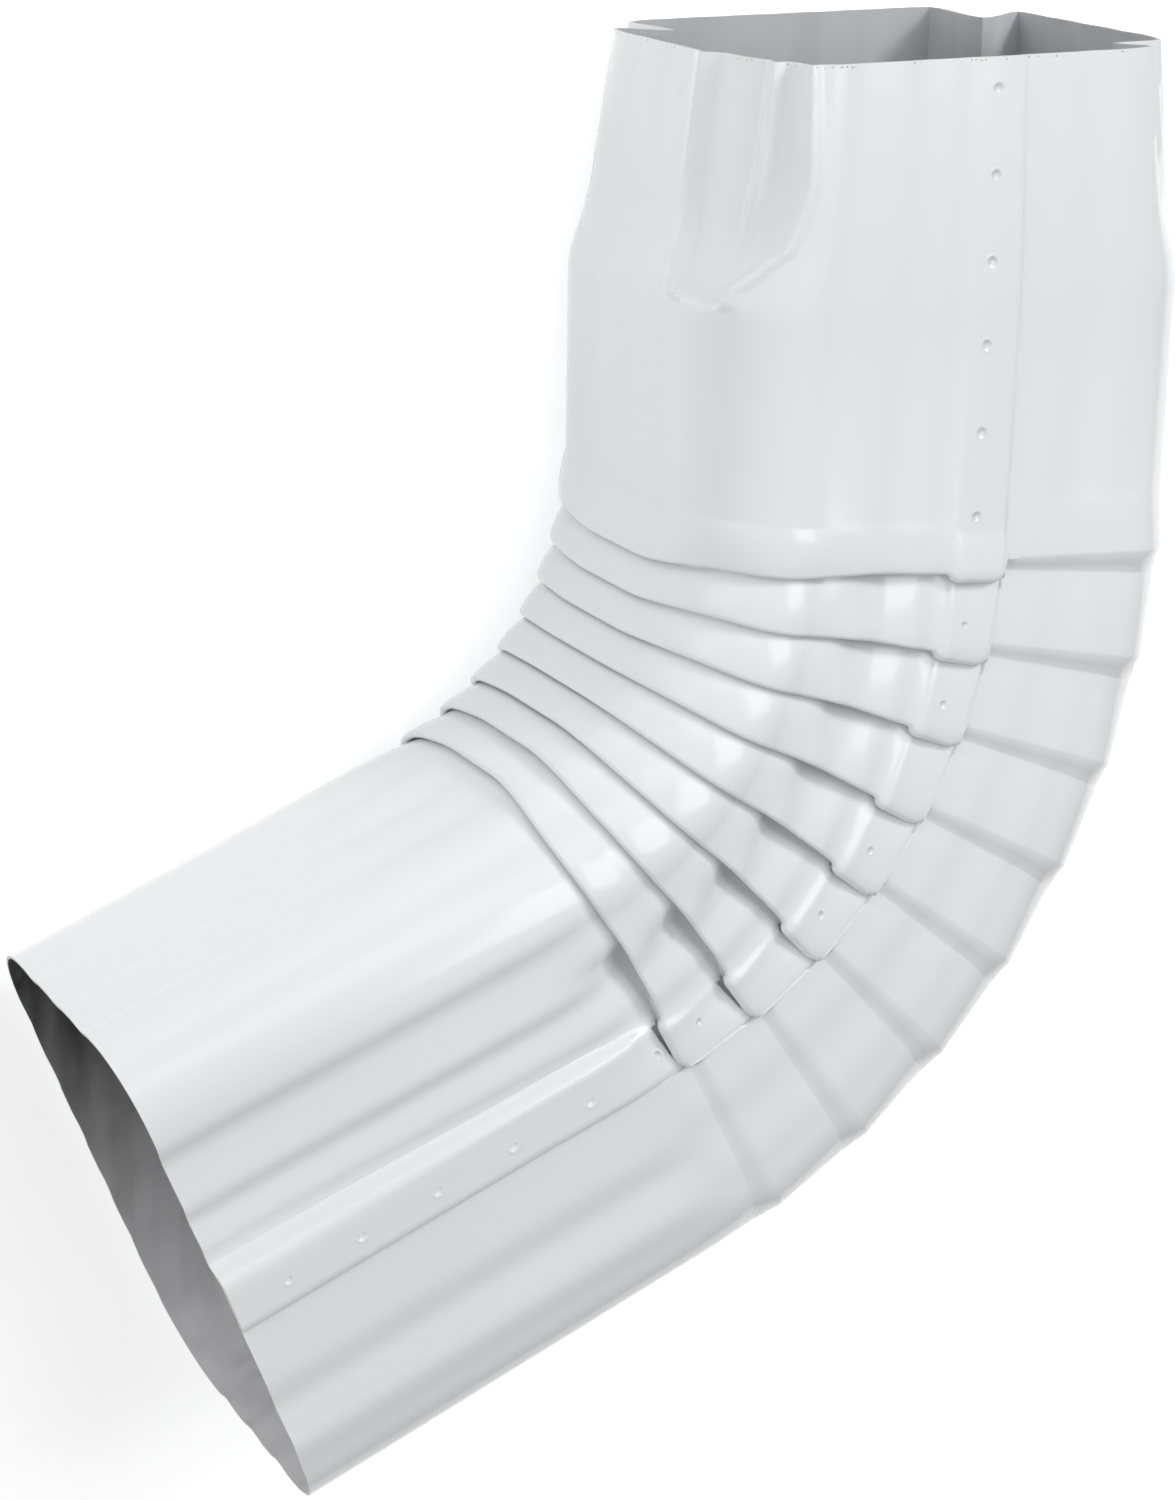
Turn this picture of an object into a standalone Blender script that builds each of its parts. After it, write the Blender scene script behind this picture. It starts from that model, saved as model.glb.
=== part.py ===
"""Downspout elbow: one fluted sheet-metal tube, bent by lapped pleats, with a crimped mouth and a plain mouth.

The elbow lies on its plain side face. The bend is in the XY plane, the seam faces up,
the crimped leg runs along +Y and the plain leg runs towards -X and -Y.
"""

import math
from collections import namedtuple

import bpy
import numpy as np

MM = 0.001

# Tube section, measured over the crests of the flutes
SIDE_WIDTH = 82.5 * MM  # throat face to heel face
FACE_WIDTH = 60.3 * MM  # plain side to seam side
CORNER_RADIUS = 15.0 * MM
SHEET = 0.48 * MM

# Flutes pressed along the faces
FLUTE_PITCH_SIDE = 10.0 * MM
FLUTES_SIDE = 6
FLUTE_PITCH_FACE = 10.1 * MM
FLUTES_FACE = 3
FLUTE_DEPTH_CRIMPED = 0.4 * MM
FLUTE_DEPTH_BEND = 0.35 * MM
FLUTE_DEPTH_PLAIN = 0.95 * MM

# Lock seam, a flattened strip proud of one side face
SEAM_FROM_THROAT = 42.2 * MM  # at the crimped mouth
SEAM_DRIFT = 3.0 * MM  # how much nearer to the throat it runs in the plain leg
SEAM_WIDTH = 8.6 * MM
SEAM_HEIGHT = 0.75 * MM

# Bend
PLEATS = 8
PLEAT_TURN = math.radians(8.85)
LAST_TURN = math.radians(7.55)
HEEL_PITCH = 18.08 * MM
UPPER_LEG = 79.8 * MM  # first heel corner to the crimped mouth
LOWER_LEG = 78.9 * MM  # last heel corner to the plain mouth

# Lap of one pleat, at the throat
LAP_LENGTH = 4.9 * MM
LAYER_PITCH = 0.76 * MM  # middle of one layer of sheet to the middle of the next
PLEAT_FAN = 0.0137  # how much more each fold turns than the tube, along the sides
CORNER_FAN = 0.15 * MM  # the same at the throat corners, as a length from fold to fold
FACE_FAN = 0.5 * MM  # how much of it is lost in the middle of the throat face
LIP_BACK = 0.8 * MM  # how far the fold lies before its mitre plane along the sides
LIP_DROOP = 1.4 * MM  # how much further the lip runs on near the throat
LIP_BULGE = 2.0 * MM  # how far the lips in the middle of the bend stand out at the throat corners
FACE_LIFT = 1.2 * MM  # how far every lip stands out in the middle of the throat face
FACE_BULGE = 1.6 * MM  # and how much more the lips in the middle of the bend do
POCKET = 0.36 * MM  # how much deeper the sheet under each lip lies than under the lip before
LAP_START = 0.355  # share of the side width, from the heel, where the fold starts to close
LAP_CLOSED = 0.5
LAP_FULL = 0.66

LEG_EASE = 6.0 * MM  # run over which a leg comes up to the first lip or down from the last

# Soft step that each pleat runs out into on its way to the heel
STEP_LENGTH = 2.6 * MM
STEP_ANGLE = math.radians(22)
STEP_FULL = 0.16  # share of the side width at which the step has its whole height

# Crimped mouth
CRIMP_LENGTH = 35.0 * MM
NECK_THROAT = 6.4 * MM  # the throat face moves in by this at the mouth
NECK_HEEL = 4.6 * MM
NECK_FACE = 2.2 * MM
CRIMP_ROWS = (0.0, 0.09, 0.2, 0.36, 0.6, 0.8, 1.0)  # shares of the crimp's length

# Corner dents of the crimp: how far the sheet moves at the mouth, and how wide and long it is
Fold = namedtuple("Fold", "corner move_s move_z reach length")
FOLDS = (
    Fold("plain_throat", -4.5 * MM, 9.0 * MM, 5.0 * MM, 31.0 * MM),
    Fold("plain_heel", 6.5 * MM, 11.5 * MM, 9.0 * MM, 33.0 * MM),
    Fold("seam_heel", 6.5 * MM, -2.5 * MM, 4.6 * MM, 31.0 * MM),
)
CHAMFER_DEPTH = 2.9 * MM  # wide dent of the corner between seam and throat
CHAMFER_LENGTH = 33.8 * MM
CHAMFER_FOOT = 6.0 * MM  # its lower end, from the corner's middle towards the throat face
CHAMFER_THROAT = 16.8 * MM  # its edges, from the corner's middle
CHAMFER_SEAM = -9.3 * MM

CORNER_STEPS = 4
PAINT = (0.76, 0.78, 0.79, 1.0)

# One line along the tube. s runs from the heel face to the throat face, z down from the seam face,
# and out_s, out_z is the outward direction.
Column = namedtuple("Column", "s z out_s out_z flute seam corner")


def smooth(low, high, value):
    """0 below low, 1 above high, with a soft start and end."""
    x = min(max((value - low) / (high - low), 0.0), 1.0)
    return x * x * (3.0 - 2.0 * x)


def blend(a, b, share):
    return a + (b - a) * share


def flute_places(width, count, pitch):
    """Distances of the flute bottoms and the crests between them, along one face."""
    first = width / 2 - (count - 1) * pitch / 2
    bottoms = [(first + i * pitch, 1.0) for i in range(count)]
    crests = [(first + (i + 0.5) * pitch, 0.0) for i in range(count - 1)]
    return sorted(bottoms + crests)


def face_columns(width, count, pitch, place, outward):
    """Columns of a flat face, between its two corners."""
    found = []
    for distance, flute in flute_places(width, count, pitch):
        s, z = place(distance)
        found.append(Column(s, z, *outward, flute, 0.0, None))
    return found


def seam_face_columns():
    """The seam face: flutes on both sides of the raised strip."""
    left = SEAM_FROM_THROAT - SEAM_WIDTH / 2
    right = SEAM_FROM_THROAT + SEAM_WIDTH / 2
    clear = FLUTE_PITCH_SIDE / 4
    found = []
    for distance, flute in flute_places(SIDE_WIDTH, FLUTES_SIDE, FLUTE_PITCH_SIDE):
        if left - clear < distance < right + clear:
            continue
        found.append((distance, flute, 0.0))
    found += [(left, 0.0, 1.0), (right - SHEET, 0.0, 1.0), (right, 0.0, 0.0)]
    return [
        Column(SIDE_WIDTH - distance, 0.0, 0.0, 1.0, flute, seam, None)
        for distance, flute, seam in sorted(found, reverse=True)
    ]


def corner_columns(name, centre_s, centre_z, start):
    """A rounded corner, from angle start through a quarter turn, clockwise as s and z grow."""
    found = []
    for i in range(CORNER_STEPS + 1):
        angle = start - i / CORNER_STEPS * math.pi / 2
        out_s, out_z = math.cos(angle), math.sin(angle)
        s, z = centre_s + CORNER_RADIUS * out_s, centre_z + CORNER_RADIUS * out_z
        middle = name if 2 * i == CORNER_STEPS else None
        found.append(Column(s, z, out_s, out_z, 0.0, 0.0, middle))
    return found


def section():
    """All columns in order: seam face from heel to throat, throat face, plain face, heel face."""
    near_s, far_s = CORNER_RADIUS, SIDE_WIDTH - CORNER_RADIUS
    near_z, far_z = -CORNER_RADIUS, -FACE_WIDTH + CORNER_RADIUS
    columns = seam_face_columns()
    columns += corner_columns("seam_throat", far_s, near_z, math.pi / 2)
    columns += face_columns(
        FACE_WIDTH, FLUTES_FACE, FLUTE_PITCH_FACE, lambda d: (SIDE_WIDTH, -d), (1.0, 0.0)
    )
    columns += corner_columns("plain_throat", far_s, far_z, 0.0)
    columns += face_columns(
        SIDE_WIDTH, FLUTES_SIDE, FLUTE_PITCH_SIDE, lambda d: (SIDE_WIDTH - d, -FACE_WIDTH), (0.0, -1.0)
    )
    columns += corner_columns("plain_heel", near_s, far_z, -math.pi / 2)
    columns += face_columns(
        FACE_WIDTH, FLUTES_FACE, FLUTE_PITCH_FACE, lambda d: (0.0, d - FACE_WIDTH), (-1.0, 0.0)
    )
    columns += corner_columns("seam_heel", near_s, near_z, math.pi)
    return [
        column._replace(s=column.s - column.out_s * SHEET / 2, z=column.z - column.out_z * SHEET / 2)
        for column in columns
    ]


def walks(columns):
    """Distance of every column from the middle of each corner, along the section."""
    steps = [0.0] + [math.hypot(b.s - a.s, b.z - a.z) for a, b in zip(columns, columns[1:])]
    walked = np.cumsum(steps)
    return {column.corner: walked - walked[i] for i, column in enumerate(columns) if column.corner}


def heading(index):
    """How far the tube has turned after this many pleats."""
    return index * PLEAT_TURN if index < PLEATS else (PLEATS - 1) * PLEAT_TURN + LAST_TURN


def downward(turn):
    """Direction along the tube, away from the crimped mouth, after this much turn."""
    return np.array([-math.sin(turn), -math.cos(turn), 0.0])


def to_throat(turn):
    """Direction from the heel to the throat after this much turn."""
    return np.array([-math.cos(turn), math.sin(turn), 0.0])


UP = np.array([0.0, 0.0, 1.0])


def heel_corners():
    """Where each pleat meets the heel line."""
    points = [np.zeros(3)]
    for i in range(1, PLEATS):
        points.append(points[-1] + HEEL_PITCH * downward(heading(i)))
    return points


def drifted(column, s, share):
    """s of a column after the seam has drifted by this share, 0 in the crimped leg and 1 in the plain one."""
    if column.out_z < 0.999:
        return s
    middle = SIDE_WIDTH - SEAM_FROM_THROAT
    return s + share * SEAM_DRIFT * (1.0 - smooth(SEAM_WIDTH, 3 * SEAM_WIDTH, abs(column.s - middle)))


def leg_point(corner, turn, distance, column, s, z, height):
    """A point of a straight leg, this far along it from the heel corner."""
    s = drifted(column, s, turn / heading(PLEATS))
    place = corner + distance * downward(turn) + s * to_throat(turn) + z * UP
    return place + height * (column.out_s * to_throat(turn) + column.out_z * UP)


def fold_point(index, corner, column, along, height):
    """A point near pleat index, this far along the tube from the pleat's mitre plane."""
    half = (heading(index + 1) - heading(index)) / 2
    turn = heading(index) + half
    s = drifted(column, column.s, (index + 0.5) / PLEATS)
    place = corner + s / math.cos(half) * to_throat(turn) + column.z * UP
    place = place + along * downward(heading(index + 1) if along > 0 else heading(index))
    return place + height * (column.out_s * to_throat(turn) + column.out_z * UP)


def throat_shares(column):
    """How near a column is to a throat corner, and to the middle of the throat face, each 0 to 1."""
    inward = max(1.0 - (SIDE_WIDTH - column.s) / (1.33 * CORNER_RADIUS), 0.0)
    across = abs(column.z + FACE_WIDTH / 2) / (FACE_WIDTH / 2)
    middle = inward * (1.0 - smooth(0.2, 0.9, across))
    return inward - middle, middle


def pleat_profile(index, column, before):
    """The six (along, height, seam) points by which the sheet crosses one pleat at this column.

    They are the start of the lip, its nose, the two ends of the middle layer, the foot of the
    inner fold and the next panel. Near the throat the turn is a half circle and the three layers
    lie flat on each other. Towards the heel the fold opens into a low step. The layers lie
    parallel to the panel that comes in from the point before.
    """
    share = column.s / SIDE_WIDTH
    corner, face = throat_shares(column)
    rank = index - (PLEATS - 1) / 2
    fan = PLEAT_FAN * column.s + CORNER_FAN * corner - FACE_FAN * face
    lip = rank * fan - LIP_BACK * smooth(0.0, 0.2, share) + LIP_DROOP * smooth(0.68, 0.92, share)
    closed = smooth(LAP_START, LAP_CLOSED, share)
    turn = blend(STEP_ANGLE * smooth(0.0, STEP_FULL, share), math.pi, closed)
    length = STEP_LENGTH * (1.0 - 0.85 * closed)
    length += LAP_LENGTH * share * smooth(LAP_CLOSED - 0.04, LAP_FULL, share)
    radius = LAYER_PITCH / 2
    easing = radius * (1.0 - closed)
    x, y = 2.0 * easing + radius * math.sin(turn), -radius * (1.0 - math.cos(turn))
    nose = (easing + radius * math.sin(turn / 2), -radius * (1.0 - math.cos(turn / 2)))
    run = length * math.cos(turn)
    drop = length * math.sin(turn)
    foot = (2.0 * x + run, 2.0 * y - drop)
    after = foot[0] + max(-run, 0.0) + blend(2.2 * MM, 1.4 * MM, closed)
    hollow = math.exp(-(((share - 0.68) / 0.16) ** 2)) + 0.5 * face
    pocket = POCKET * (index + 1) * 0.8 * hollow
    chain = ((0.0, 0.0), nose, (x, y), (x + run, y - drop), foot, (after, foot[1] - pocket))
    start = lip - radius * math.sin(turn / 2) - max(foot[0], 0.0) * (1.0 - closed)
    crown = 1.0 - (2.0 * rank / (PLEATS - 1)) ** 2
    rise = -foot[1] / 2 + LIP_BULGE * corner * crown + (FACE_LIFT + FACE_BULGE * crown) * face
    if before is None:
        lean = math.atan2(rise, LEG_EASE)
    else:
        spacing = HEEL_PITCH - 2.0 * math.tan(PLEAT_TURN / 2) * column.s
        lean = math.atan2(rise - before[1], start - before[0] + spacing)
    strips = (1.0, 0.3, 0.0, 0.0, 0.0, 0.4) if closed > 0.0 else (1.0, 1.0, 1.0, 1.0, 1.0, 1.0)
    return [
        (
            start + along * math.cos(lean) - height * math.sin(lean),
            rise + along * math.sin(lean) + height * math.cos(lean),
            strip,
        )
        for (along, height), strip in zip(chain, strips)
    ]


def bend_profiles(column):
    """The profiles of all pleats at one column, with the ease from the first leg and into the last."""
    profiles = []
    before = None
    for index in range(PLEATS):
        profiles.append(pleat_profile(index, column, before))
        before = profiles[-1][-1]
    first, last = profiles[0][0], profiles[-1][-1]
    profiles[0].insert(0, (first[0] - LEG_EASE, 0.0, 1.0))
    profiles[-1].append((last[0] + LEG_EASE, 0.0, 1.0))
    return profiles


def chamfer(place, back):
    """How deep the wide corner dent is, at a place along the section and this far from the mouth."""
    run = CHAMFER_LENGTH - back
    if run <= 0.0:
        return 0.0
    throat = blend(CHAMFER_FOOT, CHAMFER_THROAT, min(run / (18.0 * MM), 1.0) ** 0.5)
    seam = blend(CHAMFER_FOOT, CHAMFER_SEAM, min(run / (15.0 * MM), 1.0) ** 0.65)
    inside = max(min(throat - place, place - seam), 0.0)
    return CHAMFER_DEPTH * math.sin(min(inside / (8.0 * MM), 1.0) * math.pi / 2)


def crimped(column, beside, share):
    """s and z of a column in the crimped mouth, where share is 0 at its start and 1 at the rim.

    beside holds the column's distance from the middle of each corner.
    """
    back = CRIMP_LENGTH * (1.0 - share)
    neck = 0.5 * smooth(0.0, 0.36, share) + 0.5 * max(share - 0.3, 0.0) / 0.7
    s = column.s - neck * blend(-NECK_HEEL, NECK_THROAT, column.s / SIDE_WIDTH)
    z = column.z - neck * blend(NECK_FACE, -NECK_FACE, -column.z / FACE_WIDTH)
    depth = chamfer(beside["seam_throat"], back)
    s -= depth * column.out_s
    z -= depth * column.out_z
    for fold in FOLDS:
        near = 1.0 - smooth(0.0, fold.reach, abs(beside[fold.corner]))
        dent = near * smooth(0.0, fold.length, fold.length - back)
        s += dent * fold.move_s
        z += dent * fold.move_z
    return s, z


def middle_sheet(columns):
    """Rows of points through the middle of the sheet, from the crimped mouth to the plain one."""
    corners = heel_corners()
    rows, seams = [], []
    walked = walks(columns)
    for share in reversed(CRIMP_ROWS):
        distance = -(UPPER_LEG - CRIMP_LENGTH * (1.0 - share))
        row = []
        for i, column in enumerate(columns):
            s, z = crimped(column, {name: walk[i] for name, walk in walked.items()}, share)
            height = -FLUTE_DEPTH_CRIMPED * column.flute
            row.append(leg_point(corners[0], 0.0, distance, column, s, z, height))
        rows.append(row)
        seams.append([column.seam for column in columns])
    bends = [bend_profiles(column) for column in columns]
    for index, corner in enumerate(corners):
        steps = len(bends[0][index])
        for step in range(steps):
            row, seam = [], []
            for column, profiles in zip(columns, bends):
                along, height, strip = profiles[index][step]
                if index == PLEATS - 1 and step == steps - 1:
                    height -= FLUTE_DEPTH_PLAIN * column.flute
                else:
                    height -= FLUTE_DEPTH_BEND * column.flute * (1.0 - sum(throat_shares(column)))
                row.append(fold_point(index, corner, column, along, height))
                seam.append(column.seam * strip)
            rows.append(row)
            seams.append(seam)
    row = []
    for column in columns:
        height = -FLUTE_DEPTH_PLAIN * column.flute
        row.append(leg_point(corners[-1], heading(PLEATS), LOWER_LEG, column, column.s, column.z, height))
    rows.append(row)
    seams.append([column.seam for column in columns])
    return np.array(rows), np.array(seams)


def unit(vectors):
    return vectors / np.linalg.norm(vectors, axis=-1, keepdims=True)


def sheet_normals(rows):
    """Outward normal of each point, lengthened where the sheet bends so that the wall keeps its thickness."""
    along = rows[1:] - rows[:-1]
    across = np.roll(rows, -1, axis=1) - rows
    faces = unit(np.cross(across[1:] + across[:-1], along + np.roll(along, -1, axis=1)))
    above = np.concatenate([faces[:1], faces])
    below = np.concatenate([faces, faces[-1:]])
    around = [above, below, np.roll(above, 1, axis=1), np.roll(below, 1, axis=1)]
    normals = unit(sum(around))
    spread = sum((face * normals).sum(axis=-1) for face in around) / len(around)
    return normals / np.clip(spread, 0.66, 1.0)[..., None]


def shell(rows, seams):
    """Vertices and faces of the closed wall around the middle sheet."""
    normals = sheet_normals(rows)
    for edge, turn in ((0, 0.0), (-1, heading(PLEATS))):
        axis = downward(turn)
        normals[edge] = unit(normals[edge] - (normals[edge] @ axis)[:, None] * axis)
    outer = rows + normals * (SHEET / 2 + SEAM_HEIGHT * seams)[..., None]
    inner = rows - normals * (SHEET / 2)
    count_rows, count = rows.shape[:2]
    vertices = np.concatenate([outer.reshape(-1, 3), inner.reshape(-1, 3)])
    offset = count_rows * count
    faces = []
    for i in range(count_rows - 1):
        for j in range(count):
            k = (j + 1) % count
            quad = (i * count + j, i * count + k, (i + 1) * count + k, (i + 1) * count + j)
            faces.append(quad)
            faces.append(tuple(offset + v for v in quad[::-1]))
    for i, flip in ((0, True), (count_rows - 1, False)):
        for j in range(count):
            k = (j + 1) % count
            rim = (i * count + j, i * count + k, offset + i * count + k, offset + i * count + j)
            faces.append(rim[::-1] if flip else rim)
    return vertices, faces


def paint():
    """White baked enamel."""
    material = bpy.data.materials.new("white_enamel")
    material.use_nodes = True
    shader = material.node_tree.nodes["Principled BSDF"]
    shader.inputs["Base Color"].default_value = PAINT
    shader.inputs["Roughness"].default_value = 0.35
    shader.inputs["Metallic"].default_value = 0.0
    return material


def build_elbow():
    vertices, faces = shell(*middle_sheet(section()))
    low, high = vertices.min(axis=0), vertices.max(axis=0)
    vertices = vertices - np.array([(low[0] + high[0]) / 2, (low[1] + high[1]) / 2, low[2]])
    mesh = bpy.data.meshes.new("elbow")
    mesh.from_pydata(vertices.tolist(), [], faces)
    mesh.validate()
    mesh.shade_smooth()
    mesh.set_sharp_from_angle(angle=math.radians(35))
    mesh.materials.append(paint())
    elbow = bpy.data.objects.new("elbow", mesh)
    bpy.context.scene.collection.objects.link(elbow)
    return elbow


for old in list(bpy.data.objects):
    bpy.data.objects.remove(old, do_unlink=True)
build_elbow()
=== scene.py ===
import math

import bpy
import numpy as np
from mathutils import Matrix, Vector


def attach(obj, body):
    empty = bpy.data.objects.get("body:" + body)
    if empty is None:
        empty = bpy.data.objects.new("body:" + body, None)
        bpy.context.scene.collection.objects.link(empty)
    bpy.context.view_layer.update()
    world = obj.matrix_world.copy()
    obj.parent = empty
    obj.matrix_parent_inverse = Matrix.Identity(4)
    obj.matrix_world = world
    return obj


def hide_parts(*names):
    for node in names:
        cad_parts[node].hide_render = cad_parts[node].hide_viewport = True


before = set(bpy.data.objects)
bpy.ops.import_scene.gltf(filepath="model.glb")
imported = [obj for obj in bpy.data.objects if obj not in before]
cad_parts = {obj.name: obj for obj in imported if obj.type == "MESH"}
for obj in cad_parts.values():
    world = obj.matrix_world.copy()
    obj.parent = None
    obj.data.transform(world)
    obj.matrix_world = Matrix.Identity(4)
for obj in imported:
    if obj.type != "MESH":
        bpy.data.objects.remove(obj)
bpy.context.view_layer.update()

# The section of the tube
# The elbow is one sheet of painted aluminium, rolled with flutes and closed to a tube by a lock
# seam. Each point follows from its place around this section and its place along the tube, in
# millimetres. s runs from heel to throat and z is up, both from the heel corner of the seam face.
MM = 0.001
WIDTH, DEPTH = 82.5, 60.3
RADIUS = 15.0
WALL = 0.48


def smooth(low, high, x):
    """0 up to the low end, 1 from the high end on, and an S-curve between."""
    x = np.clip((np.asarray(x, float) - low) / (high - low), 0.0, 1.0)
    return x * x * (3.0 - 2.0 * x)


def bump(centre, width, x):
    """1 at the centre, fading out on both sides."""
    return np.exp(-(((np.asarray(x, float) - centre) / width) ** 2))


def grooves(d, first, pitch, count):
    """1 in the bottom of the nearest pressed groove, 0 on the flats between."""
    near = np.min([np.abs(d - first - i * pitch) for i in range(count)], axis=0)
    return 1.0 - smooth(0.5, 3.5, near)


class Section:
    """All places around the tube, clockwise from the heel end of the seam face, with the outward
    direction of each. They lie closer at the strip of the lock seam and around the dent."""

    def __init__(self):
        self.parts = []
        self.middles = {}
        near, far = RADIUS, WIDTH - RADIUS
        at_strip = [34.7, 35.1, 35.4, 35.7, 35.95, 36.05, 36.3, 36.8, 37.4, 38.2, 39.6, 41.0,
                    42.8, 43.4, 44.0, 44.5, 45.0, 45.8]
        beside_strip = [s for s in np.linspace(near, far, 45)[1:-1] if not 34.4 < s < 46.2]
        for s in sorted(at_strip + beside_strip):
            self.add(s, 0.0, 0.0, 1.0)
        self.turn("seam_throat", far, -near, math.pi / 2, 52)
        at_dent = [-15.5, -16.0, -16.5, -17.0, -17.5, -18.0, -18.6, -19.4, -20.3]
        for z in at_dent + list(np.linspace(-21.4, -44.3, 20)):
            self.add(WIDTH, z, 1.0, 0.0)
        self.turn("plain_throat", far, -DEPTH + near, 0.0)
        for s in np.linspace(far, near, 25)[1:-1]:
            self.add(s, -DEPTH, 0.0, -1.0)
        self.turn("plain_heel", near, -DEPTH + near, -math.pi / 2)
        for z in np.linspace(-DEPTH + near, -near, 17)[1:-1]:
            self.add(0.0, z, -1.0, 0.0)
        self.turn("seam_heel", near, -near, math.pi)
        self.s, self.z, self.ns, self.nz = np.array(self.parts).T
        steps = np.hypot(np.diff(self.s), np.diff(self.z))
        walked = np.concatenate([[0.0], np.cumsum(steps)])
        self.around = {name: walked - walked[at] for name, at in self.middles.items()}
        self.s -= self.ns * WALL / 2
        self.z -= self.nz * WALL / 2

    def add(self, s, z, ns, nz):
        self.parts.append((s, z, ns, nz))

    def turn(self, name, s, z, start, steps=14):
        self.middles[name] = len(self.parts) + steps // 2
        for i in range(steps + 1):
            a = start - i / steps * math.pi / 2
            self.add(s + RADIUS * math.cos(a), z + RADIUS * math.sin(a), math.cos(a), math.sin(a))


ring = Section()
share = ring.s / WIDTH
from_throat = WIDTH - ring.s
on_seam_face = (ring.nz > 0.999).astype(float)
on_plain_face = (ring.nz < -0.999).astype(float)
on_throat_face = (ring.ns > 0.999).astype(float)
on_heel_face = (ring.ns < -0.999).astype(float)
turned_to_side = np.abs(ring.nz) > 0.3
inward = np.clip(1.0 - from_throat / 20.0, 0.0, 1.0)
face_middle = inward * (1.0 - smooth(0.2, 0.9, np.abs(ring.z + DEPTH / 2) / (DEPTH / 2)))
throat_corner = inward - face_middle

# The flutes
# Shallow grooves are rolled into the sheet along its whole length. The seam face has its own
# pattern, because the lock seam takes the place of a groove, and the other faces have even ones.
UPPER_FLUTE, LOWER_FLUTE = 0.3, 1.08
seam_face_pattern = np.interp(
    from_throat,
    (9.5, 12.6, 16.4, 24.6, 28.6, 34.0, 36.4, 37.6, 38.8, 46.4, 46.6, 56.6, 60.4, 66.0, 71.0, 77.0),
    (0.0, 0.0, 1.0, 0.1, 1.0, 0.1, 1.0, 0.9, 0.0, 0.0, 0.6, 0.1, 1.0, 0.2, 1.0, 0.2))
side_pattern = np.where(ring.nz > 0, seam_face_pattern, grooves(from_throat, 17.0, 10.5, 6))
groove = turned_to_side * smooth(11.0, 15.0, from_throat) * side_pattern
groove += (0.4 * on_throat_face + on_heel_face) * grooves(-ring.z, 20.0, 10.1, 3)

# The lock seam
# Four layers of the sheet are rolled into each other and pressed flat. Outside they show as a strip
# with a sharp edge and a fine gap on the heel's side, and a bead on the throat's side. Above the
# bend the strip is low and runs out into the face.
STRIP_EDGE = 36.0
STRIP_HEIGHT, LOW_STRIP_HEIGHT, BEAD_HEIGHT, GAP_DEPTH = 0.75, 0.5, 0.16, 0.2
past_edge = on_seam_face * smooth(STRIP_EDGE - 0.05, STRIP_EDGE + 0.05, ring.s)
gap = -GAP_DEPTH * on_seam_face * bump(35.55, 0.3, ring.s)
bead = BEAD_HEIGHT * on_seam_face * bump(43.6, 0.9, ring.s)
seam_height = STRIP_HEIGHT * past_edge * (1.0 - smooth(43.2, 46.0, ring.s)) + bead + gap
low_seam = LOW_STRIP_HEIGHT * past_edge * (1.0 - smooth(38.0, 50.0, ring.s)) + gap

# The two legs and the line of the bend
# The tube turns by eight small bends, one at each pleat, between two straight legs. A row of points
# goes around a leg, or around a bend between two directions. The seam drifts a little to the throat.
HEEL_CORNER = np.array([86.33, 23.07, 61.44])
PLEATS = 8
TURN, LAST_TURN = math.radians(8.85), math.radians(7.55)
PITCH = 18.08
UPPER, LOWER = 79.8, 78.9
UP = np.array([0.0, 0.0, 1.0])
seam_drift = 3.0 * on_seam_face * (1.0 - smooth(8.0, 24.0, np.abs(ring.s - 40.0)))
rows, raised = [], []


def heading(index):
    """How far the tube has turned after so many bends."""
    return index * TURN if index < PLEATS else (PLEATS - 1) * TURN + LAST_TURN


def along_of(turn):
    return np.array([-math.sin(turn), -math.cos(turn), 0.0])


def throat_of(turn):
    return np.array([-math.cos(turn), math.sin(turn), 0.0])


corners = [np.zeros(3)]
for i in range(1, PLEATS):
    corners.append(corners[-1] + PITCH * along_of(heading(i)))


def leg_row(corner, turn, distance, s, z, height, seam):
    """A row around a straight leg, square to it, at a distance from a corner of the bend's line."""
    s = s + seam_drift * turn / heading(PLEATS)
    out = ring.ns[:, None] * throat_of(turn) + ring.nz[:, None] * UP
    place = corner + distance * along_of(turn) + s[:, None] * throat_of(turn) + z[:, None] * UP
    rows.append(place + height[:, None] * out)
    raised.append(seam)


def fold_row(index, along, height, seam):
    """A row around one bend, where each place has its own distance before or past the bend."""
    half = (heading(index + 1) - heading(index)) / 2
    middle = heading(index) + half
    before, after = along_of(heading(index)), along_of(heading(index + 1))
    s = ring.s + seam_drift * (index + 0.5) / PLEATS
    place = corners[index] + (s / math.cos(half))[:, None] * throat_of(middle) + ring.z[:, None] * UP
    place = place + np.where(along[:, None] > 0, along[:, None] * after, along[:, None] * before)
    out = ring.ns[:, None] * throat_of(middle) + ring.nz[:, None] * UP
    rows.append(place + height[:, None] * out)
    raised.append(seam)


# The crimped mouth
# The faces draw in towards the mouth, so that it fits into the next pipe, and each corner is dented
# to take up the sheet. Three dents are plain valleys, each with its corner, its half width around
# the section, how far it moves the corner's middle at the mouth, and its length.
CRIMP = 35.0
HEEL_DRAW, THROAT_DRAW, SIDE_DRAW = 4.6, 6.4, 2.2
VALLEYS = (
    ("plain_throat", 5.0, (-4.5, 9.0), 31.0),
    ("plain_heel", 9.0, (6.5, 11.5), 33.0),
    ("seam_heel", 4.6, (6.5, -2.5), 31.0),
)
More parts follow.
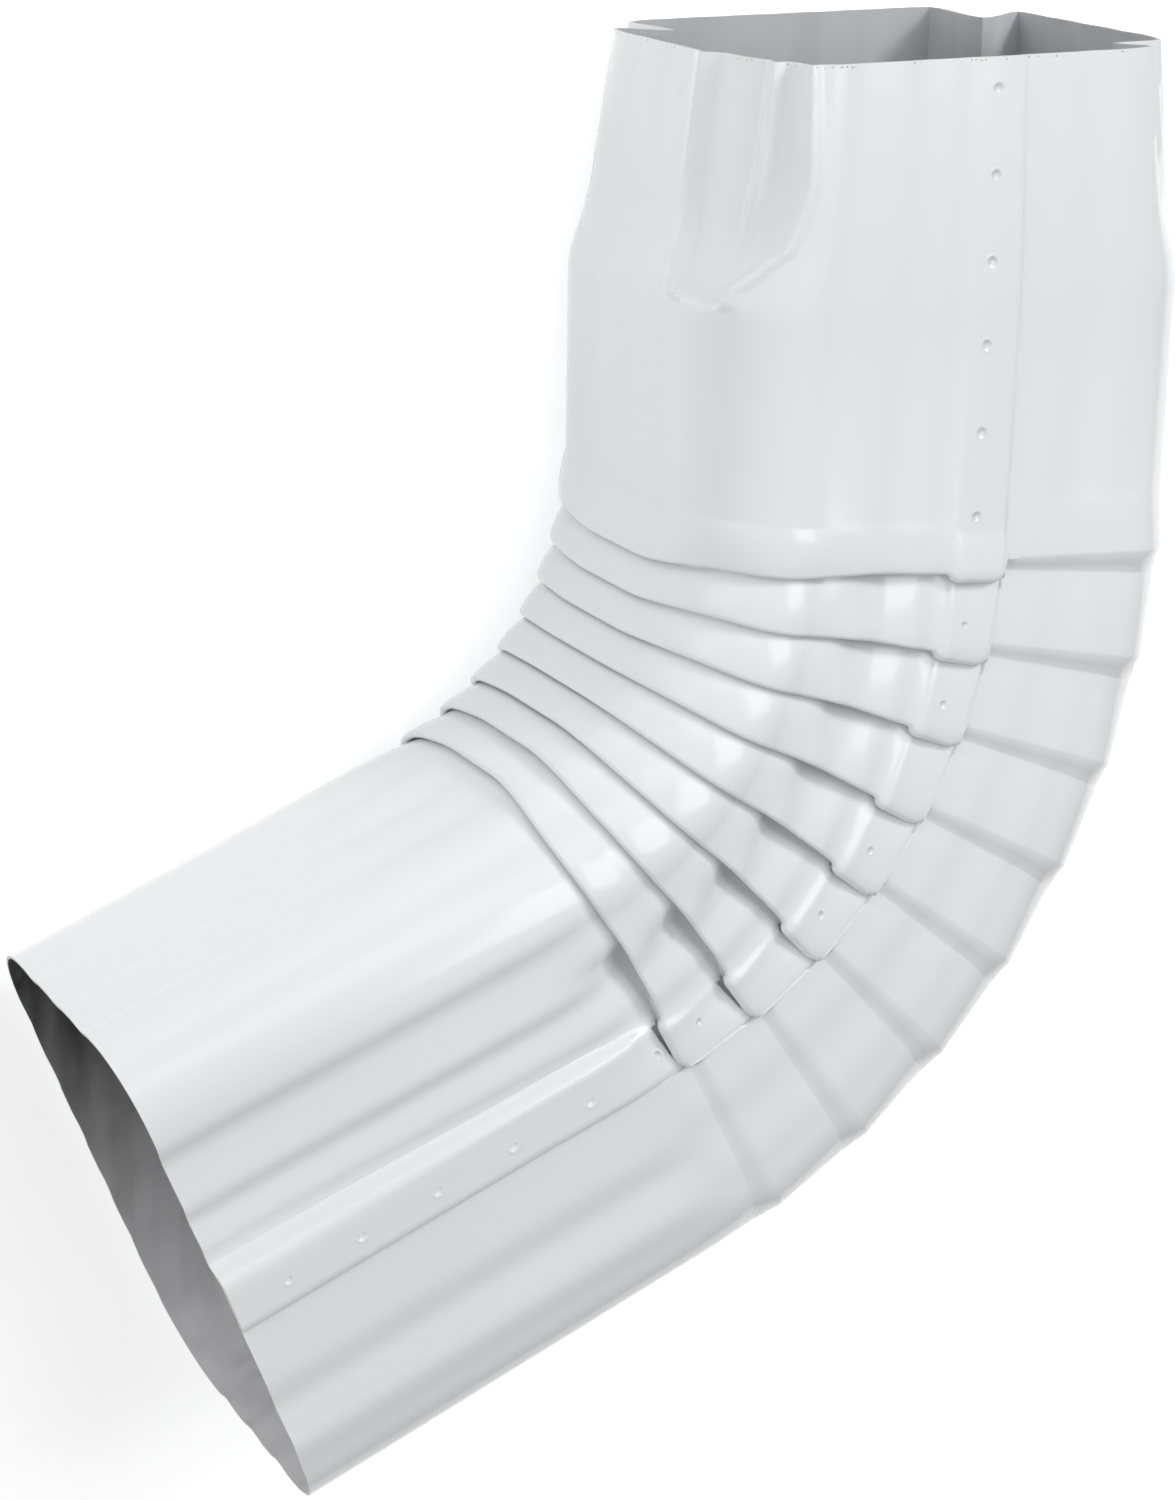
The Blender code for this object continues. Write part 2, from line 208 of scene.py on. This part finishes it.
# The fourth dent, which is in view, has a flat floor, an edge that stands a little proud all round,
# and a ridge down its middle. Its left and right edge and its ridge are places around the section
# from the corner's middle, one for each distance from the dent's closed end.
DENT = 34.0
DENT_DEPTH, DENT_SLOPE, DENT_SOFTNESS = 2.5, 1.9, 0.45
RIM_HEIGHT, RIDGE_HEIGHT, RIDGE_WIDTH = 0.75, 1.5, 1.35
LEFT_EDGE = ((0.0, 0.6, 1.5, 3.5, 8.0, 16.0, 34.0), (9.5, 12.6, 14.6, 15.8, 16.6, 17.2, 17.4))
RIGHT_EDGE = ((0.0, 0.8, 3.3, 5.7, 9.0, 14.0, 18.0, 25.0, 34.0),
              (6.6, 4.4, 3.4, 0.6, -2.8, -4.6, -5.3, -4.6, -3.8))
RIDGE = ((0.0, 12.0, 20.0, 34.0), (6.0, 4.0, 2.3, 1.9))


def crimped(back):
    """The section's places so far back from the crimped mouth."""
    u = 1.0 - back / CRIMP
    draw = 0.5 * smooth(0.0, 0.36, u) + 0.5 * max(u - 0.3, 0.0) / 0.7
    s = ring.s - draw * np.interp(ring.s, (0.0, WIDTH), (-HEEL_DRAW, THROAT_DRAW))
    z = ring.z - u ** 1.4 * np.interp(ring.z, (-DEPTH, 0.0), (-SIDE_DRAW, SIDE_DRAW))
    for corner, half_width, (ds, dz), long in VALLEYS:
        if back < long:
            apart = np.abs(ring.around[corner]) / half_width
            dent = (1.0 - smooth(0.0, 1.0, apart)) * smooth(0.0, long, long - back)
            s = s + dent * ds
            z = z + dent * dz
    run = max(DENT - back, 0.0)
    place = ring.around["seam_throat"]
    inside = np.minimum(np.interp(run, *LEFT_EDGE) - place, place - np.interp(run, *RIGHT_EDGE))
    edge = DENT_SOFTNESS * np.log1p(np.exp(np.clip(inside / DENT_SOFTNESS, -30.0, 30.0)))
    rim = RIM_HEIGHT * bump(-0.5, 1.4 - 0.3 * smooth(0.0, 9.0, run), inside)
    depth = (DENT_DEPTH * (1.0 - np.exp(-edge / DENT_SLOPE)) - rim) * smooth(0.0, 1.6, run)
    ridge = RIDGE_HEIGHT * bump(np.interp(run, *RIDGE), RIDGE_WIDTH, place)
    depth = depth - ridge * smooth(5.0, 18.0, run)
    return s - depth * ring.ns, z - depth * ring.nz


for back in np.concatenate([np.linspace(0.0, 24.0, 19)[:-1], np.linspace(24.0, CRIMP, 24)]):
    s, z = crimped(back)
    leg_row(corners[0], 0.0, back - UPPER, s, z, -UPPER_FLUTE * groove, low_seam)
upper_rows = len(rows)

# The pleats
# Each panel of the bend ends in a lip, folds back under itself and comes out again as the next
# panel. At the heel the sheet only bends. From the seam to the throat the fold is pressed shut, the
# lap widens to its full length at the throat, and on the seam the fold ends in a square tab.
LAP = 4.9
HALF_FOLD = 0.38
FIRST_PANEL = 7.0
closed = smooth(35.2, 36.1, ring.s)
loose = 1.0 - closed
angle = math.radians(34) * smooth(0.0, 0.12, share) * loose + math.pi * closed
length = (4.6 - 0.07 * ring.s) * loose + closed + LAP * share * smooth(45.0, 54.0, ring.s)
run, drop = length * np.cos(angle), length * np.sin(angle)
soft, crisp = 0.9 * loose, 0.12 * loose

# One fold from its lip on: the turn of the lip, the layer under it and the turn back. Each place has
# a distance along, a height, and the share of the seam's thickness that it carries.
x, y = 2 * soft + HALF_FOLD * np.sin(angle), -HALF_FOLD * (1 - np.cos(angle))
foot_x, foot_y = x + run + 2 * crisp + HALF_FOLD * np.sin(angle), 2 * y - drop
fold = [(0 * x, 0 * y, 1.0)]
for f in (0.2, 0.4, 0.6, 0.8, 1.0):
    a = angle * f
    fold.append((2 * soft * f + HALF_FOLD * np.sin(a), -HALF_FOLD * (1 - np.cos(a)), 1.0 - f * closed))
LIP_ROWS = len(fold)
fold.append((x + 0.5 * run, y - 0.5 * drop, loose))
for f in (0.0, 0.33, 0.67, 1.0):
    a = angle * (1 - f)
    fold.append((x + run + 2 * crisp * f + HALF_FOLD * (np.sin(angle) - np.sin(a)),
                 y - drop - HALF_FOLD * (np.cos(a) - np.cos(angle)), loose))
after_x = foot_x + np.maximum(-run, 0.0) + 2.2 - 1.9 * closed

# The flutes step from panel to panel, and under each lip the next panel starts in a pocket between
# the throat and the strip, and in a slit beside the tab. Both get deeper from pleat to pleat.
FOLD_FLUTE = 0.62
SLIT_DEPTH = 0.9
fold_pattern = np.interp(
    from_throat,
    (10.0, 15.0, 22.2, 26.4, 27.2, 33.2, 35.6, 48.0, 54.0, 57.5, 64.0, 67.5, 74.0, 77.0),
    (0.6, 0.0, 1.0, 0.1, 0.0, 1.0, 0.3, 0.3, 0.8, 0.3, 0.8, 0.3, 0.7, 0.5))
fold_flute = FOLD_FLUTE * (fold_pattern - 1.0) * turned_to_side * smooth(10.0, 16.0, from_throat)
tab = on_seam_face * smooth(35.9, 37.8, ring.s) * (1.0 - smooth(44.2, 45.2, ring.s))
pocket_outline = 0.3 * smooth(36.5, 42.0, ring.s) + 0.7 * smooth(42.0, 58.0, ring.s)
pocket_outline = (1.0 - smooth(58.5, 63.5, ring.s)) * pocket_outline * (1.0 - on_plain_face * 0.6)
slit_outline = tab * smooth(36.8, 38.4, ring.s) * (1.0 - smooth(42.8, 44.0, ring.s))
arch = 0.3 - 0.18 * (1.0 - inward) + 0.25 * bump(68.0, 4.0, ring.s)

PANEL_STEPS = (0.1, 0.2, 0.35, 0.6, 0.85)
panel_middles = []
for k in range(PLEATS):
    rank = k - (PLEATS - 1) / 2
    crown = 1.0 - (2.0 * rank / (PLEATS - 1)) ** 2
    fan = 0.0137 * ring.s + 0.15 * throat_corner - 0.5 * face_middle
    lip = rank * fan - 0.8 * smooth(0.0, 0.2, share) + 1.4 * smooth(56.0, 76.0, ring.s) + 0.8 * tab
    beside_tab = 0.3 * max(k - 3, 0) if k < PLEATS - 1 else 0.3
    pocket = pocket_outline * (1.2 + 0.24 * k) + face_middle * 0.12
    pocket = pocket + beside_tab * on_seam_face * bump(43.0, 2.6, ring.s)
    slit = slit_outline * min(max(k - 2, 0), 3) / 3
    start = lip - HALF_FOLD * np.sin(angle / 2) - np.maximum(foot_x, 0.0) * loose
    rise = -foot_y / 2 + 2.0 * throat_corner * crown + (1.2 + 1.6 * crown) * face_middle
    if k == 0:
        fold_row(0, start - FIRST_PANEL, -UPPER_FLUTE * groove, low_seam)
        before_x, before_y = start - FIRST_PANEL, np.zeros_like(start)
    else:
        before_x, before_y = last_x - (PITCH - 2.0 * math.tan(TURN / 2) * ring.s), last_y
    lean = np.arctan2(rise - before_y, start - before_x)
    panel_middles.append(len(rows) + PANEL_STEPS.index(0.6))
    for f in PANEL_STEPS:
        along = before_x + (start - before_x) * f
        up = before_y + (rise - before_y) * (f + 0.3 * f * (1.0 - f))
        up = up + arch * closed * math.sin(math.pi * f)
        if k == 0:
            fold_row(k, along, up + 0.25 * fold_flute, low_seam + (seam_height - low_seam) * f)
        else:
            fold_row(k, along, up + fold_flute, seam_height)
    under = []
    for f, sink in ((0.35, 0.7), (0.7, 1.0), (1.0, 0.97)):
        under.append((foot_x + (after_x - foot_x) * f, foot_y - pocket * (closed * sink + loose * f),
                      smooth(0.4, 1.0, f) * closed * (1.0 - slit) + loose))
    for at, (x, y, thick) in enumerate(fold + under):
        last_x = start + x * np.cos(lean) - y * np.sin(lean)
        last_y = rise + x * np.sin(lean) + y * np.cos(lean)
        flute = 0.25 * fold_flute if k == 0 and at < LIP_ROWS else fold_flute
        sunken = SLIT_DEPTH * slit if at >= len(fold) else 0.0
        fold_row(k, last_x, last_y - sunken + flute, seam_height * thick)
lower_rows = len(rows)

# The leg to the plain mouth
# Past the last fold the flutes run out deep and plain, ready to go over the next pipe. The seam
# face has sunk between the strip and the throat, most at the mouth.
SUNK_DEPTH = 2.2
SETTLING = ((1.2, 0.8, 0.15), (2.5, 0.6, 0.3), (5.5, 0.25, 0.65), (9.0, 0.05, 0.95),
            (13.0, 0.0, LOWER_FLUTE))
for further, kept, depth in SETTLING:
    height = kept * (last_y + fold_flute) - depth * groove
    fold_row(PLEATS - 1, last_x + further, height, seam_height)
sunk = (ring.nz > 0.0) * smooth(42.5, 47.0, ring.s) * (1.0 - smooth(66.0, 82.0, ring.s))
for distance in (27.0, 35.0, 43.0, 52.0, 61.0, 70.0, LOWER):
    z = ring.z - SUNK_DEPTH * smooth(18.0, LOWER, distance) * sunk
    leg_row(corners[-1], heading(PLEATS), distance, ring.s, z, -LOWER_FLUTE * groove, seam_height)

# The sheet's two surfaces
# The rows give the middle of the sheet. Its outer surface lies half a wall and the height of the
# seam outside them, its inner surface half a wall inside, and a rim joins the two at each mouth.
SHARP = math.radians(38)
middle = np.array(rows)
raised = np.array(raised)
along = middle[1:] - middle[:-1]
across = np.roll(middle, -1, axis=1) - middle
facing = np.cross(across[1:] + across[:-1], along + np.roll(along, -1, axis=1))
facing /= np.linalg.norm(facing, axis=-1, keepdims=True)
above = np.concatenate([facing[:1], facing])
below = np.concatenate([facing, facing[-1:]])
normal = sum([above, below, np.roll(above, 1, axis=1), np.roll(below, 1, axis=1)])
normal /= np.linalg.norm(normal, axis=-1, keepdims=True)
for edge, turn in ((0, 0.0), (-1, heading(PLEATS))):
    level = normal[edge] - (normal[edge] @ along_of(turn))[:, None] * along_of(turn)
    normal[edge] = level / np.linalg.norm(level, axis=-1, keepdims=True)
outer = middle + normal * (WALL / 2 + raised)[..., None]
inner = middle - normal * (WALL / 2)

# The sheet is a ten-thousandth smaller than the CAD, to stay inside its box. The plain side rests
# on the floor, and what would reach below it is squeezed into the last millimetre above it.
INSIDE_CAD = (0.9999, 0.9999, 1.0)
LOWEST, SQUEEZED = 0.03, 1.0
count_rows, count = middle.shape[:2]
points = np.concatenate([outer.reshape(-1, 3), inner.reshape(-1, 3)])
points = (points + HEEL_CORNER) * INSIDE_CAD
low = points[:, 2] < SQUEEZED
left_over = SQUEEZED - LOWEST
points[low, 2] = LOWEST + left_over * np.exp((points[low, 2] - SQUEEZED) / left_over)
offset = count_rows * count
i, j = np.meshgrid(np.arange(count_rows - 1), np.arange(count), indexing="ij")
i, j = i.ravel(), j.ravel()
k = (j + 1) % count
outside = np.stack([i * count + j, i * count + k, (i + 1) * count + k, (i + 1) * count + j], axis=1)
inside = outside[:, ::-1] + offset
rims = []
for row, flip in ((0, True), (count_rows - 1, False)):
    j = row * count + np.arange(count)
    k = row * count + (np.arange(count) + 1) % count
    rim = np.stack([j, k, offset + k, offset + j], axis=1)
    rims.append(rim[:, ::-1] if flip else rim)
quads = np.concatenate([outside, inside] + rims)
mesh = bpy.data.meshes.new("tube")
mesh.from_pydata((points * MM).tolist(), [], quads.tolist())
slots = np.concatenate([np.zeros(len(outside)), np.ones(len(inside)), np.full(2 * count, 2)])
mesh.polygons.foreach_set("material_index", slots.astype(np.int32))
mesh.shade_smooth()
mesh.set_sharp_from_angle(angle=SHARP)
tube = bpy.data.objects.new("tube", mesh)
bpy.context.scene.collection.objects.link(tube)


# Paint, primer with painted shade, and the cut edge
# The sheet is coated before it is rolled: white enamel outside and a grey primer inside. The
# primer's colour also carries painted shade and light along the tube: near white at the heel end of
# the plain mouth, near black inside that mouth on the throat's side, and mid grey towards the
# crimped mouth. The cut at the two mouths shows the bare metal.
class Number:
    """A socket that carries a number. Sums and products with it add their Math nodes."""

    def __init__(self, tree, socket):
        self.tree, self.socket = tree, socket

    def worked(self, operation, first, second):
        node = self.tree.nodes.new("ShaderNodeMath")
        node.operation = operation
        for value, socket in zip((first, second), node.inputs):
            if isinstance(value, Number):
                self.tree.links.new(value.socket, socket)
            else:
                socket.default_value = value
        return Number(self.tree, node.outputs[0])

    def __add__(self, other):
        return self.worked("ADD", self, other)

    def __radd__(self, other):
        return self.worked("ADD", other, self)

    def __sub__(self, other):
        return self.worked("SUBTRACT", self, other)

    def __rsub__(self, other):
        return self.worked("SUBTRACT", other, self)

    def __mul__(self, other):
        return self.worked("MULTIPLY", self, other)

    def __rmul__(self, other):
        return self.worked("MULTIPLY", other, self)

    def larger(self, other):
        return self.worked("MAXIMUM", self, other)


class Graph:
    """A node tree in which one call makes a node with its settings and what feeds its sockets."""

    def __init__(self, tree):
        self.tree = tree

    def node(self, kind, settings=None, inputs=None):
        made = self.tree.nodes.new(kind)
        for name, value in (settings or {}).items():
            if name == "stops":
                self.set_stops(made.color_ramp, value)
            else:
                setattr(made, name, value)
        self.feed(made, inputs or {})
        return made

    def set_stops(self, ramp, stops):
        while len(ramp.elements) < len(stops):
            ramp.elements.new(0.5)
        for element, (position, color) in zip(ramp.elements, stops):
            element.position = position
            element.color = (*color, 1.0)

    def feed(self, node, inputs):
        for name, value in inputs.items():
            if isinstance(value, Number):
                self.tree.links.new(value.socket, node.inputs[name])
            elif isinstance(value, bpy.types.NodeSocket):
                self.tree.links.new(value, node.inputs[name])
            else:
                node.inputs[name].default_value = value

    def number(self, node, output):
        return Number(self.tree, node.outputs[output])


def material(name, settings):
    """A paint or a bare metal, with its node tree and its main shader."""
    made = bpy.data.materials.new(name)
    made.use_nodes = True
    graph = Graph(made.node_tree)
    shader = made.node_tree.nodes["Principled BSDF"]
    graph.feed(shader, settings)
    return made, graph, shader


GLOSS = 0.15
enamel, graph, shader = material("white_enamel", {"Roughness": GLOSS})
where = graph.node("ShaderNodeTexCoord")
cloud = graph.node("ShaderNodeTexNoise", inputs={
    "Vector": where.outputs["Object"], "Scale": 22.0, "Detail": 2.0})
whites = graph.node("ShaderNodeValToRGB", {"stops": (
    (0.25, (0.80, 0.826, 0.842)),
    (0.75, (0.82, 0.844, 0.858)),
)}, {"Fac": cloud.outputs["Fac"]})
graph.feed(shader, {"Base Color": whites.outputs["Color"]})

LENGTH_OF_PART = 0.20572
primer, graph, shader = material("grey_primer_with_painted_shade", {"Roughness": 0.5})
where = graph.node("ShaderNodeTexCoord")
split = graph.node("ShaderNodeSeparateXYZ", inputs={"Vector": where.outputs["Object"]})
stretched = graph.node("ShaderNodeMapping", inputs={
    "Vector": where.outputs["Object"], "Scale": (160.0, 12.0, 160.0)})
streak = graph.node("ShaderNodeTexNoise", inputs={
    "Vector": stretched.outputs["Vector"], "Scale": 1.0, "Detail": 2.0})
up_the_tube = graph.number(split, "Y") * (1.0 / LENGTH_OF_PART) + 0.5
# Painted shade and light: the primer's grey runs from near white at the plain mouth's heel end to near
# black inside it on the throat's side, then mid grey up to the crimped mouth, with random streaks.
primer_painted_shade = graph.node("ShaderNodeValToRGB", {"stops": (
    (0.0, (0.88, 0.88, 0.90)),
    (0.35, (0.045, 0.045, 0.045)),
    (0.6, (0.35, 0.36, 0.37)),
    (1.0, (0.56, 0.58, 0.60)),
)}, {"Fac": up_the_tube + (graph.number(streak, "Fac") - 0.5) * 0.25})
graph.feed(shader, {"Base Color": primer_painted_shade.outputs["Color"]})

bare, graph, shader = material("cut_edge", {
    "Base Color": (0.50, 0.48, 0.46, 1.0), "Roughness": 0.45, "Metallic": 0.5})
for paint in (enamel, primer, bare):
    mesh.materials.append(paint)
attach(tube, "root")
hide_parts("elbow")


# Punch marks of the lock seam
# A row of small punches through the strip holds the layers of the seam together. Each mark is a
# thin disc on the strip, whose paint looks pressed in. They follow the strip on both legs.
def column_at(s):
    """Which of the places around the section is nearest to s on the seam face."""
    return int(np.argmin(np.where(on_seam_face > 0.0, np.abs(ring.s - s), np.inf)))


def on_strip(first, last, turn, distance, s):
    """The place and the outward direction of the strip at a distance from the bend."""
    column = column_at(s)
    line = outer[first:last, column]
    at = (line - (corners[0] if turn == 0.0 else corners[-1])) @ along_of(turn)
    place = np.array([np.interp(distance, at, line[:, axis]) for axis in range(3)])
    out = np.cross(outer[first + 1, column + 1] - outer[first + 1, column - 1], along_of(turn))
    return (place + HEEL_CORNER) * MM, out / np.linalg.norm(out)


def turned_shape(profile, sides, name):
    """A small round shape from the radius, height and pressed depth of each ring, in millimetres,
    from its middle outwards. Only the bump of the paint shows the pressed depth."""
    spots, depths, faces = [(0.0, 0.0, profile[0][1] * MM)], [profile[0][2]], []
    for radius, height, depth in profile[1:]:
        for i in range(sides):
            a = i / sides * math.tau
            spots.append((radius * math.cos(a) * MM, radius * math.sin(a) * MM, height * MM))
            depths.append(depth)
    for i in range(sides):
        k = (i + 1) % sides
        faces.append((0, 1 + i, 1 + k))
        for step in range(1, len(profile) - 1):
            near, far = 1 + (step - 1) * sides, 1 + step * sides
            faces.append((near + i, far + i, far + k, near + k))
    made = bpy.data.meshes.new(name)
    made.from_pydata(spots, [], faces)
    made.shade_smooth()
    pressed = made.attributes.new("pressed", "FLOAT", "POINT")
    pressed.data.foreach_set("value", [-depth * MM for depth in depths])
    shape = bpy.data.objects.new(name, made)
    bpy.context.scene.collection.objects.link(shape)
    return shape


def scattered(name, places, shape, paint, size, seed):
    """The shape on every place, facing as given, in sizes picked between two limits."""
    carrier = bpy.data.meshes.new(name)
    carrier.from_pydata([tuple(place) for place, out in places], [], [])
    facing = carrier.attributes.new("facing", "FLOAT_VECTOR", "POINT")
    facing.data.foreach_set("vector", np.array([out for place, out in places]).ravel())
    holder = bpy.data.objects.new(name, carrier)
    bpy.context.scene.collection.objects.link(holder)
    tree = bpy.data.node_groups.new(name, "GeometryNodeTree")
    graph = Graph(tree)
    tree.interface.new_socket("Geometry", in_out="INPUT", socket_type="NodeSocketGeometry")
    smallest = tree.interface.new_socket("Smallest", in_out="INPUT", socket_type="NodeSocketFloat")
    largest = tree.interface.new_socket("Largest", in_out="INPUT", socket_type="NodeSocketFloat")
    tree.interface.new_socket("Geometry", in_out="OUTPUT", socket_type="NodeSocketGeometry")
    given = graph.node("NodeGroupInput")
    pick = graph.node("FunctionNodeRandomValue", {"data_type": "FLOAT"}, {"Seed": seed})
    tree.links.new(given.outputs["Smallest"], pick.inputs[2])
    tree.links.new(given.outputs["Largest"], pick.inputs[3])
    named = graph.node("GeometryNodeInputNamedAttribute", {"data_type": "FLOAT_VECTOR"}, {
        "Name": "facing"})
    turned = graph.node("FunctionNodeAlignRotationToVector", {"axis": "Z"}, {
        "Vector": named.outputs["Attribute"]})
    info = graph.node("GeometryNodeObjectInfo", inputs={"Object": shape})
    placed = graph.node("GeometryNodeInstanceOnPoints", inputs={
        "Points": given.outputs["Geometry"], "Instance": info.outputs["Geometry"],
        "Rotation": turned.outputs["Rotation"], "Scale": pick.outputs[1]})
    real = graph.node("GeometryNodeRealizeInstances", inputs={"Geometry": placed.outputs["Instances"]})
    coated = graph.node("GeometryNodeSetMaterial", inputs={
        "Geometry": real.outputs["Geometry"], "Material": paint})
    graph.node("NodeGroupOutput", inputs={"Geometry": coated.outputs["Geometry"]})
    modifier = holder.modifiers.new("scatter", "NODES")
    modifier.node_group = tree
    modifier[smallest.identifier] = size[0]
    modifier[largest.identifier] = size[1]
    bpy.context.view_layer.update()
    shown = holder.evaluated_get(bpy.context.evaluated_depsgraph_get())
    plain = bpy.data.meshes.new_from_object(shown)
    holder.modifiers.remove(modifier)
    holder.data = plain
    bpy.data.objects.remove(shape)
    return holder


pressed_enamel, graph, shader = material("pressed_enamel", {
    "Roughness": GLOSS, "Base Color": (0.81, 0.835, 0.85, 1.0)})
pressed = graph.node("ShaderNodeAttribute", {"attribute_name": "pressed"})
dent = graph.node("ShaderNodeBump", inputs={"Height": pressed.outputs["Fac"], "Distance": 1.0})
graph.feed(shader, {"Normal": dent.outputs["Normal"]})

ABOVE_THE_BEND, UPPER_LINE = (75.5, 63.6, 51.5, 39.6, 26.9, 14.5), 40.6
BEYOND_THE_BEND, LOWER_LINE = (7.4, 19.7, 32.9, 45.6, 58.2, 70.2), 39.4
places = []
for above in ABOVE_THE_BEND:
    places.append(on_strip(0, upper_rows + 1, 0.0, -above, UPPER_LINE))
for beyond in BEYOND_THE_BEND:
    places.append(on_strip(lower_rows, len(rows), heading(PLEATS), beyond, LOWER_LINE))
dimple = turned_shape([(0.0, 0.04, 0.36), (0.25, 0.04, 0.33), (0.45, 0.04, 0.24), (0.62, 0.04, 0.13),
                       (0.78, 0.04, 0.05), (0.95, 0.035, 0.0), (1.15, -0.02, 0.0)], 24, "dimple")
punches = scattered("seam_punches", places, dimple, pressed_enamel, (0.92, 1.08), 3)
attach(punches, "root")

# Punch marks on the tabs
# The punches go on through the folded strip, so most tabs of the bend carry one mark, a little
# smaller and shallower than those on the legs.
MARKED_PANELS, TAB_LINE = (1, 2, 4, 5, 7), 40.4
places = []
column = column_at(TAB_LINE)
for k in MARKED_PANELS:
    row = panel_middles[k]
    places.append(((outer[row, column] + HEEL_CORNER) * MM, normal[row, column]))
dimple = turned_shape([(0.0, 0.04, 0.3), (0.25, 0.04, 0.26), (0.45, 0.04, 0.15), (0.62, 0.04, 0.05),
                       (0.8, 0.035, 0.0), (1.0, -0.02, 0.0)], 20, "dimple")
marks_on_tabs = scattered("tab_punches", places, dimple, pressed_enamel, (0.8, 1.0), 5)
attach(marks_on_tabs, "root")

# Burrs of the crimped edge
# The crimping tool tears small flakes out of the cut edge. They are bare metal and sit just behind
# the edge, at random places around the mouth.
BURRS = 90
chance = np.random.RandomState(11)
places = []
for at in chance.choice(count, BURRS, replace=False):
    edge = outer[0, at] + chance.uniform(0.28, 0.5) * along_of(0.0) - normal[0, at] * 0.04
    places.append(((edge + HEEL_CORNER) * MM, normal[0, at] + chance.uniform(-0.6, 0.6, 3)))
flake = turned_shape([(0.0, 0.16, 0.0), (0.16, 0.07, 0.0), (0.13, -0.08, 0.0)], 5, "flake")
burrs = scattered("edge_burrs", places, flake, bare, (0.4, 1.2), 9)
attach(burrs, "root")

# Floor, light and camera
# The elbow lies on a pale floor that shows as white. The sky is brighter on the throat's side. Of
# the lamps, the one overhead is mirrored by the slopes of the pleats, the key stands on the heel's
# side of the crimped mouth, and two weak ones stand in front of the mouth and of the throat.
FLOOR_GAP = 0.0002
WHITE = (1.0, 1.0, 1.0, 1.0)
bpy.ops.mesh.primitive_plane_add(size=40.0, location=(0, 0, -FLOOR_GAP))
floor = bpy.context.object
floor.name = "floor"
ground, graph, shader = material("floor", {
    "Base Color": (0.9, 0.9, 0.9, 1.0), "Roughness": 0.9, "Emission Color": WHITE})
rays = graph.node("ShaderNodeLightPath")
seen = graph.number(rays, "Is Camera Ray").larger(graph.number(rays, "Is Glossy Ray"))
graph.feed(shader, {"Emission Strength": seen * 0.5})
floor.data.materials.append(ground)

world = bpy.data.worlds.new("studio")
world.use_nodes = True
graph = Graph(world.node_tree)
where = graph.node("ShaderNodeTexCoord")
slant = graph.node("ShaderNodeVectorMath", {"operation": "DOT_PRODUCT"}, {
    0: where.outputs["Generated"], 1: (-1.0, 0.05, 0.0)})
strength = (graph.number(slant, "Value") * 0.42 + 0.42).larger(0.08)
graph.feed(world.node_tree.nodes["Background"], {"Color": WHITE, "Strength": strength})
bpy.context.scene.world = world


def area_light(name, place, target, size, power):
    """A soft rectangular lamp that faces a point."""
    light = bpy.data.lights.new(name, "AREA")
    light.shape = "RECTANGLE"
    light.size, light.size_y = size
    light.energy = power
    lamp = bpy.data.objects.new(name, light)
    lamp.location = place
    lamp.rotation_euler = (Vector(target) - Vector(place)).to_track_quat("-Z", "Y").to_euler()
    bpy.context.scene.collection.objects.link(lamp)


ELBOW = (0, 0, 0.03)
area_light("overhead", (0.33, 0.45, 1.0), (0.33, 0.45, 0.0), (0.52, 0.6), 2.9)
area_light("key", (0.65, 0.75, 0.8), ELBOW, (0.3, 0.3), 5.6)
area_light("front", (-0.05, 0.95, 0.8), ELBOW, (0.7, 0.5), 1.0)
area_light("side", (-0.9, 0.5, 0.42), ELBOW, (0.6, 0.6), 0.9)

camera_data = bpy.data.cameras.new("camera")
camera_data.sensor_fit = "HORIZONTAL"
camera_data.sensor_width = 36.0
camera_data.lens = 101.07
camera_data.clip_start = 0.01
camera = bpy.data.objects.new("camera", camera_data)
camera.location = (-0.222584, 0.160352, 0.442941)
camera.rotation_euler = (math.radians(-19.5), math.radians(-27.912), math.radians(1.002))
bpy.context.scene.collection.objects.link(camera)
bpy.context.scene.camera = camera
bpy.context.scene.view_settings.view_transform = "Standard"
